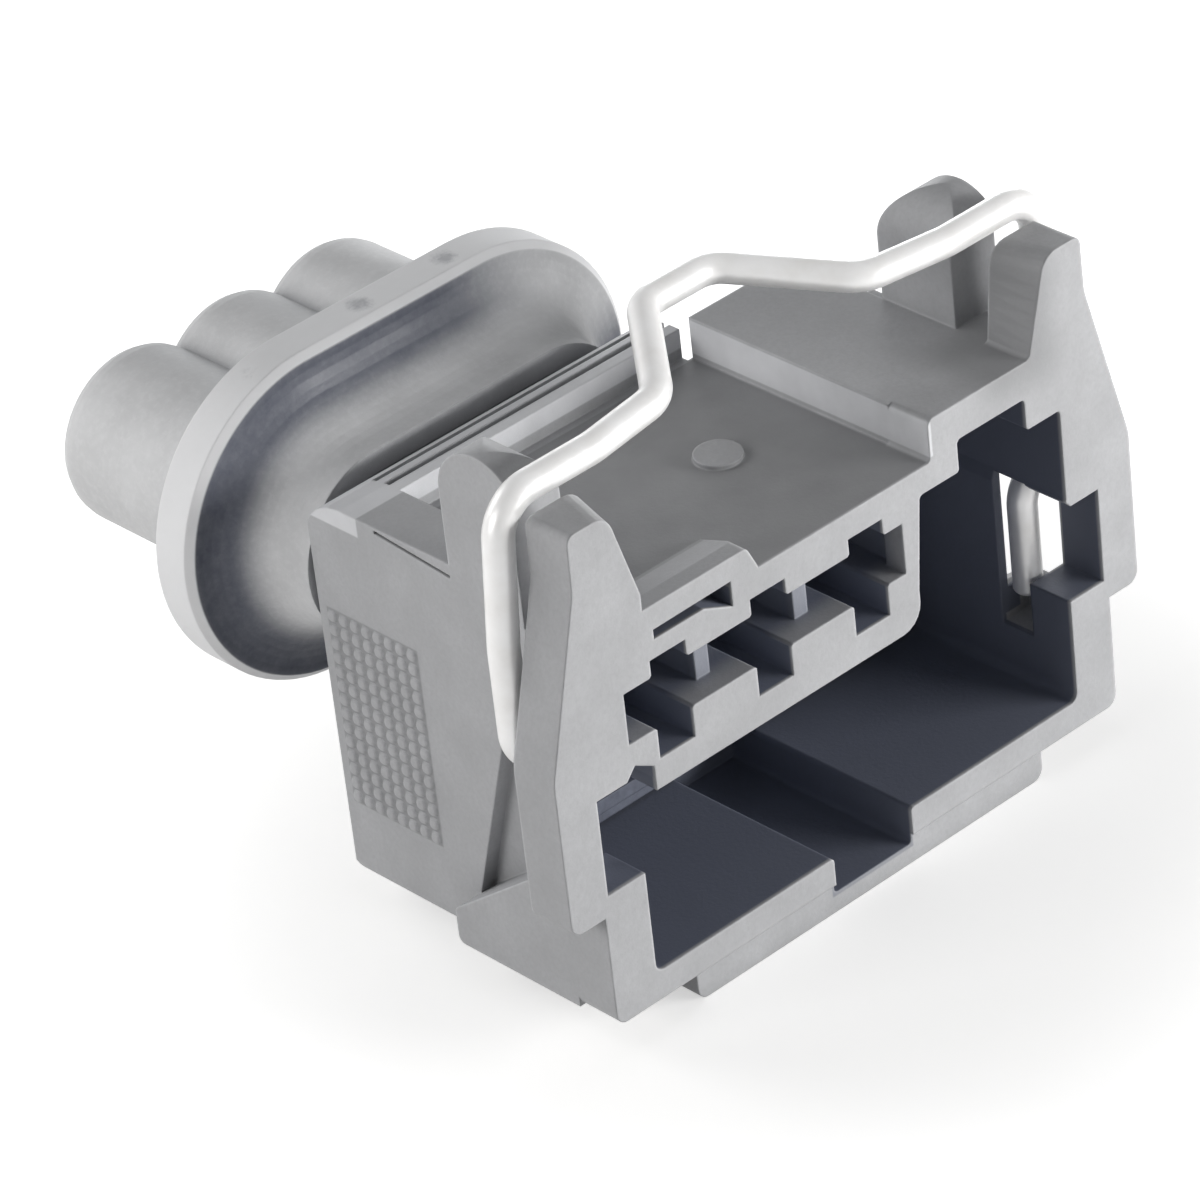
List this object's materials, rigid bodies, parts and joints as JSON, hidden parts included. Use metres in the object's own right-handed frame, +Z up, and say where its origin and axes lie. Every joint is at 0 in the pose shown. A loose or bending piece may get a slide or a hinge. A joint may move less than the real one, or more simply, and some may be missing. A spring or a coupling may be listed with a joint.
{
  "type": "sealed automotive connector plug",
  "caption": "Grey sealed plug connector with rectangular blade receptacles, a bent spring wire clip and a flanged rubber cable boot.",
  "frame": {"origin": "middle of the pad's underside, on which the plug stands", "axes": "+X across the plug to the right as seen from the mating face, +Y from the mating face back to the cable end, +Z up"},
  "size_m": [0.0301, 0.0303, 0.0239],
  "materials": {
    "grey_plastic": "satin, glass-filled",
    "spring_wire": "bright zinc plated",
    "grey_rubber": "satin",
    "seal_rubber": "matte",
    "tinned_brass": "tin plated",
    "spring_steel": "bright"
  },
  "bodies": {
    "plug": {"housing": "grey_plastic", "boot": "grey_rubber", "face_seal": "seal_rubber", "contact_1": "tinned_brass", "contact_2": "tinned_brass", "contact_3": "tinned_brass", "contact_spring_1": "spring_steel", "contact_spring_2": "spring_steel", "contact_spring_3": "spring_steel"},
    "clip": {"wire_clip": "spring_wire"}
  },
  "joints": [
    {"name": "clip_press", "type": "slide", "parent": "plug", "child": "clip", "axis": [0, 0, -1], "range_m": [0, 0.0012], "stiffness_N_per_m": 600}
  ]
}
